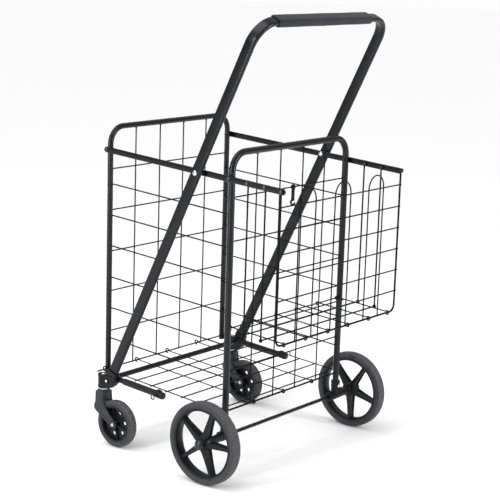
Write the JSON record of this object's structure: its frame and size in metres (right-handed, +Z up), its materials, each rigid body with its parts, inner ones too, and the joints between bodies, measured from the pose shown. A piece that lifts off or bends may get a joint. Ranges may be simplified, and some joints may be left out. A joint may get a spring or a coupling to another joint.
{
  "type": "folding shopping trolley",
  "caption": "Folding wire shopping trolley: deep main basket, small rear basket, slanted loop handle with grip, spoked rear wheels and swivelling front casters.",
  "frame": {"origin": "on the ground under the middle of the trolley's overall length and width, unfolded", "axes": "+Z up; -Y is the front with the swivel casters; +Y is the rear, where the user stands; -X is the user's left"},
  "size_m": [0.5836, 0.5014, 0.9794],
  "materials": {
    "black_steel": "semi-gloss black powder coat",
    "dark_plastic": "satin black moulded plastic",
    "fork_plastic": "satin charcoal moulded plastic",
    "tyre_rubber": "matt dark grey rubber",
    "grip_foam": "matt charcoal foam sleeve",
    "zinc": "bright zinc plate"
  },
  "bodies": {
    "rear_frame": {"rear_frame": "black_steel", "rear_mesh": "black_steel", "rear_axle": "black_steel", "axle_bracket_left": "dark_plastic", "axle_bracket_right": "dark_plastic", "arm_rivet_left": "black_steel", "arm_rivet_right": "black_steel"},
    "side_arms": {"side_arm_left": "black_steel", "side_arm_right": "black_steel"},
    "front_frame": {"front_frame": "black_steel", "front_mesh": "black_steel"},
    "handle": {"handle": "black_steel", "handle_grip": "grip_foam", "base_tube": "black_steel", "end_clip_left": "dark_plastic", "end_clip_right": "dark_plastic", "caster_bracket_left": "dark_plastic", "caster_bracket_right": "dark_plastic", "kingpin_left": "zinc", "kingpin_right": "zinc", "handle_rivet_left": "zinc", "handle_rivet_right": "zinc"},
    "main_floor": {"main_floor": "black_steel"},
    "basket_floor": {"basket_floor": "black_steel"},
    "basket_panel": {"basket_panel": "black_steel"},
    "basket_rods_1": {"basket_rod_left_1": "black_steel", "basket_rod_right_1": "black_steel"},
    "basket_rods_2": {"basket_rod_left_2": "black_steel", "basket_rod_right_2": "black_steel"},
    "side_wires_1": {"side_wire_left_1": "black_steel", "side_wire_right_1": "black_steel"},
    "side_wires_2": {"side_wire_left_2": "black_steel", "side_wire_right_2": "black_steel"},
    "side_wires_3": {"side_wire_left_3": "black_steel", "side_wire_right_3": "black_steel"},
    "side_wires_4": {"side_wire_left_4": "black_steel", "side_wire_right_4": "black_steel"},
    "side_wires_5": {"side_wire_left_5": "black_steel", "side_wire_right_5": "black_steel"},
    "side_wires_6": {"side_wire_left_6": "black_steel", "side_wire_right_6": "black_steel"},
    "fold_clip": {"fold_clip": "dark_plastic"},
    "latch_hook_left": {"latch_hook_left": "black_steel"},
    "caster_fork_left": {"caster_fork_left": "fork_plastic", "caster_axle_left": "zinc"},
    "caster_wheel_left": {"caster_tyre_left": "tyre_rubber", "caster_hub_left": "dark_plastic"},
    "rear_wheel_left": {"rear_tyre_left": "tyre_rubber", "rear_hub_left": "dark_plastic", "hub_cap_left": "dark_plastic"},
    "latch_hook_right": {"latch_hook_right": "black_steel"},
    "caster_fork_right": {"caster_fork_right": "fork_plastic", "caster_axle_right": "zinc"},
    "caster_wheel_right": {"caster_tyre_right": "tyre_rubber", "caster_hub_right": "dark_plastic"},
    "rear_wheel_right": {"rear_tyre_right": "tyre_rubber", "rear_hub_right": "dark_plastic", "hub_cap_right": "dark_plastic"}
  },
  "joints": [
    {"name": "fold", "type": "hinge", "parent": "rear_frame", "child": "side_arms", "pos_m": [0, 0.10375, 0.644], "axis": [-1, 0, 0], "range_deg": [0, 71]},
    {"name": "front_frame_pivot", "type": "hinge", "parent": "side_arms", "child": "front_frame", "pos_m": [0, -0.24425, 0.666], "axis": [1, 0, 0], "range_deg": [0, 71]},
    {"name": "handle_pivot", "type": "hinge", "parent": "side_arms", "child": "handle", "pos_m": [0, 0.02775, 0.6488], "axis": [1, 0, 0], "range_deg": [0, 84.67]},
    {"name": "main_floor_pivot", "type": "hinge", "parent": "rear_frame", "child": "main_floor", "pos_m": [0, 0.10375, 0.1435], "axis": [-1, 0, 0], "range_deg": [0, 71]},
    {"name": "basket_floor_pivot", "type": "hinge", "parent": "rear_frame", "child": "basket_floor", "pos_m": [0, 0.10375, 0.3245], "axis": [-1, 0, 0], "range_deg": [0, 71]},
    {"name": "basket_panel_pivot", "type": "hinge", "parent": "side_arms", "child": "basket_panel", "pos_m": [0, 0.24325, 0.63518], "axis": [1, 0, 0], "range_deg": [0, 71]},
    {"name": "basket_rods_1_pivot", "type": "hinge", "parent": "side_arms", "child": "basket_rods_1", "pos_m": [0, 0.15175, 0.64097], "axis": [1, 0, 0], "range_deg": [0, 71]},
    {"name": "basket_rods_2_pivot", "type": "hinge", "parent": "side_arms", "child": "basket_rods_2", "pos_m": [0, 0.19725, 0.63809], "axis": [1, 0, 0], "range_deg": [0, 71]},
    {"name": "side_wires_1_pivot", "type": "hinge", "parent": "rear_frame", "child": "side_wires_1", "pos_m": [0, 0.10375, 0.565], "axis": [-1, 0, 0], "range_deg": [0, 71]},
    {"name": "side_wires_2_pivot", "type": "hinge", "parent": "rear_frame", "child": "side_wires_2", "pos_m": [0, 0.10375, 0.4945], "axis": [-1, 0, 0], "range_deg": [0, 71]},
    {"name": "side_wires_3_pivot", "type": "hinge", "parent": "rear_frame", "child": "side_wires_3", "pos_m": [0, 0.10375, 0.425], "axis": [-1, 0, 0], "range_deg": [0, 71]},
    {"name": "side_wires_4_pivot", "type": "hinge", "parent": "rear_frame", "child": "side_wires_4", "pos_m": [0, 0.10375, 0.3535], "axis": [-1, 0, 0], "range_deg": [0, 71]},
    {"name": "side_wires_5_pivot", "type": "hinge", "parent": "rear_frame", "child": "side_wires_5", "pos_m": [0, 0.10375, 0.283], "axis": [-1, 0, 0], "range_deg": [0, 71]},
    {"name": "side_wires_6_pivot", "type": "hinge", "parent": "rear_frame", "child": "side_wires_6", "pos_m": [0, 0.10375, 0.2125], "axis": [-1, 0, 0], "range_deg": [0, 71]},
    {"name": "fold_clip_swing", "type": "hinge", "parent": "rear_frame", "child": "fold_clip", "pos_m": [0, 0.10375, 0.6035], "axis": [1, 0, 0], "range_deg": [-80, 80]},
    {"name": "latch_hook_swing_left", "type": "hinge", "parent": "handle", "child": "latch_hook_left", "pos_m": [-0.2274, -0.06825, 0.14577], "axis": [1, 0, 0], "range_deg": [-180, 0]},
    {"name": "caster_swivel_left", "type": "hinge", "parent": "handle", "child": "caster_fork_left", "pos_m": [-0.2255, -0.23225, 0.1255], "axis": [0, 0, 1], "continuous": true},
    {"name": "caster_spin_left", "type": "hinge", "parent": "caster_fork_left", "child": "caster_wheel_left", "pos_m": [-0.2255, -0.18925, 0.0535], "axis": [1, 0, 0], "continuous": true},
    {"name": "rear_wheel_spin_left", "type": "hinge", "parent": "rear_frame", "child": "rear_wheel_left", "pos_m": [-0.2665, 0.10375, 0.0895], "axis": [1, 0, 0], "continuous": true},
    {"name": "latch_hook_swing_right", "type": "hinge", "parent": "handle", "child": "latch_hook_right", "pos_m": [0.2274, -0.06825, 0.14577], "axis": [1, 0, 0], "range_deg": [0, 180]},
    {"name": "caster_swivel_right", "type": "hinge", "parent": "handle", "child": "caster_fork_right", "pos_m": [0.2255, -0.23225, 0.1255], "axis": [0, 0, 1], "continuous": true},
    {"name": "caster_spin_right", "type": "hinge", "parent": "caster_fork_right", "child": "caster_wheel_right", "pos_m": [0.2255, -0.18925, 0.0535], "axis": [1, 0, 0], "continuous": true},
    {"name": "rear_wheel_spin_right", "type": "hinge", "parent": "rear_frame", "child": "rear_wheel_right", "pos_m": [0.2665, 0.10375, 0.0895], "axis": [1, 0, 0], "continuous": true}
  ],
  "couplings": [
    {"joint": "front_frame_pivot", "follows": "fold", "ratio": 1},
    {"joint": "handle_pivot", "follows": "fold", "ratio": 1.1923},
    {"joint": "main_floor_pivot", "follows": "fold", "ratio": 1},
    {"joint": "basket_floor_pivot", "follows": "fold", "ratio": 1},
    {"joint": "basket_panel_pivot", "follows": "fold", "ratio": 1},
    {"joint": "basket_rods_1_pivot", "follows": "fold", "ratio": 1},
    {"joint": "basket_rods_2_pivot", "follows": "fold", "ratio": 1},
    {"joint": "side_wires_1_pivot", "follows": "fold", "ratio": 1},
    {"joint": "side_wires_2_pivot", "follows": "fold", "ratio": 1},
    {"joint": "side_wires_3_pivot", "follows": "fold", "ratio": 1},
    {"joint": "side_wires_4_pivot", "follows": "fold", "ratio": 1},
    {"joint": "side_wires_5_pivot", "follows": "fold", "ratio": 1},
    {"joint": "side_wires_6_pivot", "follows": "fold", "ratio": 1}
  ]
}
